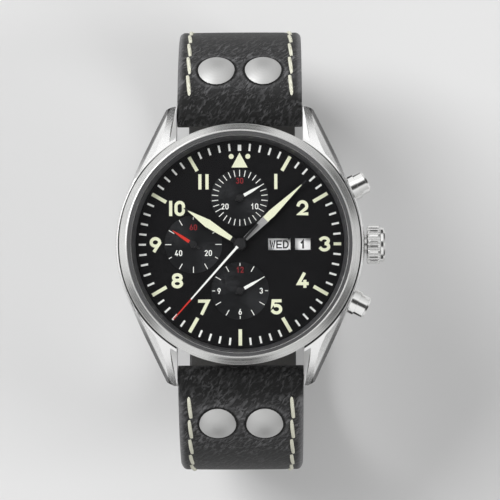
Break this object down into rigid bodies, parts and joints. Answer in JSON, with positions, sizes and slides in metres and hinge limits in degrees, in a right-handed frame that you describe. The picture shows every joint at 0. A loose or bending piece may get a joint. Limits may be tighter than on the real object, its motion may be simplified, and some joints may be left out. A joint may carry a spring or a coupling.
{
  "type": "chronograph wristwatch",
  "caption": "Round steel pilot style chronograph wristwatch with black three-register dial, fluted crown, pump pushers and riveted black leather strap, buckled closed.",
  "frame": {"origin": "on the dial's axis, in the flat outer face of the case back", "axes": "+Z out of the dial, +Y towards 12 o'clock, +X towards 3 o'clock and the crown"},
  "size_m": [0.0465, 0.0796, 0.0577],
  "materials": {
    "steel_satin": "satin turned and brushed stainless steel",
    "steel_polished": "mirror polished stainless steel",
    "sapphire": "domed sapphire with a faint blue coating",
    "seal": "black nitrile",
    "dial_black": "matt black lacquer, fine grain",
    "flange_black": "satin dark grey",
    "hand_cream": "cream lume in a dark frame",
    "hand_red": "bright red lacquer",
    "hand_white": "white lacquer",
    "disc_white": "white lacquer with black print",
    "plate_nickel": "nickel plated brass, pearled",
    "wheel_brass": "gilt brass",
    "spring_blue": "blued alloy",
    "leather_black": "black grained calf with cream stitching"
  },
  "bodies": {
    "watch": {"mid_case": "steel_satin", "bezel": "steel_polished", "crystal": "sapphire", "crystal_gasket": "seal", "dial_flange": "flange_black", "dial": "dial_black", "case_back": "steel_satin", "case_back_gasket": "seal", "movement_ring": "plate_nickel", "casing_clamps": "steel_polished", "crown_tube": "steel_satin", "pusher_tubes": "steel_polished", "start_pusher_spring": "steel_satin", "reset_pusher_spring": "steel_satin", "mainplate": "plate_nickel", "train_bridge": "plate_nickel", "automatic_bridge": "plate_nickel", "hairspring": "spring_blue", "balance_cock": "plate_nickel", "rotor_screw": "steel_polished", "spring_bars": "steel_satin", "upper_strap": "leather_black", "lower_strap": "leather_black", "strap_rivets": "steel_satin", "fixed_keeper": "leather_black", "buckle_frame": "steel_satin", "buckle_bar": "steel_satin"},
    "crown_seal": {"crown_gasket": "seal"},
    "crown": {"crown": "steel_polished", "winding_stem": "steel_satin"},
    "start_pusher": {"start_pusher": "steel_polished"},
    "reset_pusher": {"reset_pusher": "steel_polished"},
    "minute_hand": {"minute_hand": "hand_cream", "cannon_pinion": "steel_satin"},
    "hour_hand": {"hour_hand": "hand_cream", "hour_wheel": "wheel_brass"},
    "minute_wheel": {"minute_wheel": "wheel_brass"},
    "driving_pinion": {"driving_pinion": "steel_satin"},
    "date_ring": {"date_ring": "disc_white"},
    "day_disc": {"day_disc": "disc_white"},
    "small_seconds": {"fourth_wheel": "wheel_brass", "small_seconds_hand": "hand_red"},
    "third_wheel": {"third_wheel": "wheel_brass"},
    "second_wheel": {"second_wheel": "wheel_brass"},
    "barrel": {"barrel": "wheel_brass"},
    "escape_wheel": {"escape_wheel": "steel_satin"},
    "pallet_fork": {"pallet_fork": "steel_satin"},
    "balance": {"balance_wheel": "wheel_brass"},
    "chronograph_seconds": {"chronograph_hand": "hand_white", "chronograph_runner": "wheel_brass"},
    "minute_counter": {"minute_counter_hand": "hand_white", "minute_counter_wheel": "wheel_brass"},
    "hour_counter": {"hour_counter_hand": "hand_white", "hour_counter_wheel": "wheel_brass"},
    "rotor": {"rotor": "steel_satin"},
    "setting_lever": {"setting_lever": "steel_satin"},
    "start_lever": {"start_lever": "steel_satin"},
    "reset_lever": {"reset_lever": "steel_satin"},
    "free_keeper": {"free_keeper": "leather_black"},
    "buckle_tongue": {"buckle_tongue": "steel_satin"}
  },
  "joints": [
    {"name": "crown_pull", "type": "slide", "parent": "watch", "child": "crown_seal", "axis": [1, 0, 0], "range_m": [0, 0.0012]},
    {"name": "crown_spin", "type": "hinge", "parent": "crown_seal", "child": "crown", "pos_m": [0, 0, 0.006], "axis": [1, 0, 0], "continuous": true},
    {"name": "start_push", "type": "slide", "parent": "watch", "child": "start_pusher", "axis": [-0.8942, -0.4478, 0], "range_m": [0, 0.001], "stiffness_N_per_m": 400, "springref_m": -0.0015, "deforming": ["start_pusher_spring"]},
    {"name": "reset_push", "type": "slide", "parent": "watch", "child": "reset_pusher", "axis": [-0.8942, 0.4478, 0], "range_m": [0, 0.001], "stiffness_N_per_m": 400, "springref_m": -0.0015, "deforming": ["reset_pusher_spring"]},
    {"name": "minute_hand_turn", "type": "hinge", "parent": "watch", "child": "minute_hand", "pos_m": [0, 0, 0.0107], "axis": [0, 0, 1], "continuous": true},
    {"name": "hour_hand_turn", "type": "hinge", "parent": "watch", "child": "hour_hand", "pos_m": [0, 0, 0.0103], "axis": [0, 0, 1], "continuous": true},
    {"name": "minute_wheel_turn", "type": "hinge", "parent": "watch", "child": "minute_wheel", "pos_m": [-0.00175, 0.00164, 0.0085], "axis": [0, 0, 1], "continuous": true},
    {"name": "driving_pinion_turn", "type": "hinge", "parent": "watch", "child": "driving_pinion", "pos_m": [-0.001, 0.004, 0.0085], "axis": [0, 0, 1], "continuous": true},
    {"name": "date_ring_turn", "type": "hinge", "parent": "watch", "child": "date_ring", "pos_m": [0, 0, 0.00885], "axis": [0, 0, 1], "continuous": true},
    {"name": "day_disc_turn", "type": "hinge", "parent": "watch", "child": "day_disc", "pos_m": [0.00995, 0, 0.00845], "axis": [0, 0, 1], "continuous": true},
    {"name": "small_seconds_turn", "type": "hinge", "parent": "watch", "child": "small_seconds", "pos_m": [-0.008, 0, 0.006], "axis": [0, 0, 1], "continuous": true},
    {"name": "third_wheel_turn", "type": "hinge", "parent": "watch", "child": "third_wheel", "pos_m": [-0.0047, 0.00235, 0.0058], "axis": [0, 0, 1], "continuous": true},
    {"name": "second_wheel_turn", "type": "hinge", "parent": "watch", "child": "second_wheel", "pos_m": [-0.001, 0.004, 0.006], "axis": [0, 0, 1], "continuous": true},
    {"name": "barrel_turn", "type": "hinge", "parent": "watch", "child": "barrel", "pos_m": [0.0044, 0.0047, 0.0055], "axis": [0, 0, 1], "continuous": true},
    {"name": "escape_wheel_turn", "type": "hinge", "parent": "watch", "child": "escape_wheel", "pos_m": [-0.0093, -0.0034, 0.006], "axis": [0, 0, 1], "continuous": true},
    {"name": "pallet_rock", "type": "hinge", "parent": "watch", "child": "pallet_fork", "pos_m": [-0.00757, -0.00554, 0.0064], "axis": [0, 0, 1], "range_deg": [-5, 5]},
    {"name": "balance_swing", "type": "hinge", "parent": "watch", "child": "balance", "pos_m": [-0.0046, -0.0092, 0.0057], "axis": [0, 0, 1], "range_deg": [-270, 270], "stiffness_Nm_per_rad": 0.0000006, "deforming": ["hairspring"]},
    {"name": "chronograph_turn", "type": "hinge", "parent": "watch", "child": "chronograph_seconds", "pos_m": [0, 0, 0.007], "axis": [0, 0, 1], "continuous": true},
    {"name": "minute_counter_turn", "type": "hinge", "parent": "watch", "child": "minute_counter", "pos_m": [0, 0.008, 0.007], "axis": [0, 0, 1], "continuous": true},
    {"name": "hour_counter_turn", "type": "hinge", "parent": "watch", "child": "hour_counter", "pos_m": [0, -0.008, 0.007], "axis": [0, 0, 1], "continuous": true},
    {"name": "rotor_turn", "type": "hinge", "parent": "watch", "child": "rotor", "pos_m": [0, 0, 0.002], "axis": [0, 0, 1], "continuous": true},
    {"name": "setting_lever_turn", "type": "hinge", "parent": "watch", "child": "setting_lever", "pos_m": [0.0122, -0.0032, 0.0067], "axis": [0, 0, 1], "range_deg": [-22.5, 0]},
    {"name": "start_lever_turn", "type": "hinge", "parent": "watch", "child": "start_lever", "pos_m": [0.0096, 0.009, 0.0059], "axis": [0, 0, 1], "range_deg": [-18, 0]},
    {"name": "reset_lever_turn", "type": "hinge", "parent": "watch", "child": "reset_lever", "pos_m": [0.0096, -0.009, 0.0059], "axis": [0, 0, 1], "range_deg": [0, 18]},
    {"name": "keeper_slide", "type": "slide", "parent": "watch", "child": "free_keeper", "axis": [0, 1, 0], "range_m": [-0.001, 0.001]},
    {"name": "tongue_turn", "type": "hinge", "parent": "watch", "child": "buckle_tongue", "pos_m": [0, 0.001, -0.03759], "axis": [1, 0, 0], "range_deg": [0, 8]}
  ],
  "couplings": [
    {"joint": "hour_hand_turn", "follows": "minute_hand_turn", "ratio": 0.083333},
    {"joint": "minute_wheel_turn", "follows": "minute_hand_turn", "ratio": -0.33333},
    {"joint": "driving_pinion_turn", "follows": "minute_hand_turn", "ratio": 1},
    {"joint": "third_wheel_turn", "follows": "small_seconds_turn", "ratio": -0.13333},
    {"joint": "second_wheel_turn", "follows": "small_seconds_turn", "ratio": 0.016667},
    {"joint": "barrel_turn", "follows": "small_seconds_turn", "ratio": -0.0027778},
    {"joint": "escape_wheel_turn", "follows": "small_seconds_turn", "ratio": -12},
    {"joint": "minute_counter_turn", "follows": "chronograph_turn", "ratio": 0.033333},
    {"joint": "hour_counter_turn", "follows": "chronograph_turn", "ratio": 0.0013889},
    {"joint": "setting_lever_turn", "follows": "crown_pull", "rad_per_m": -312.5},
    {"joint": "start_lever_turn", "follows": "start_push", "rad_per_m": -266.74},
    {"joint": "reset_lever_turn", "follows": "reset_push", "rad_per_m": 266.74}
  ]
}
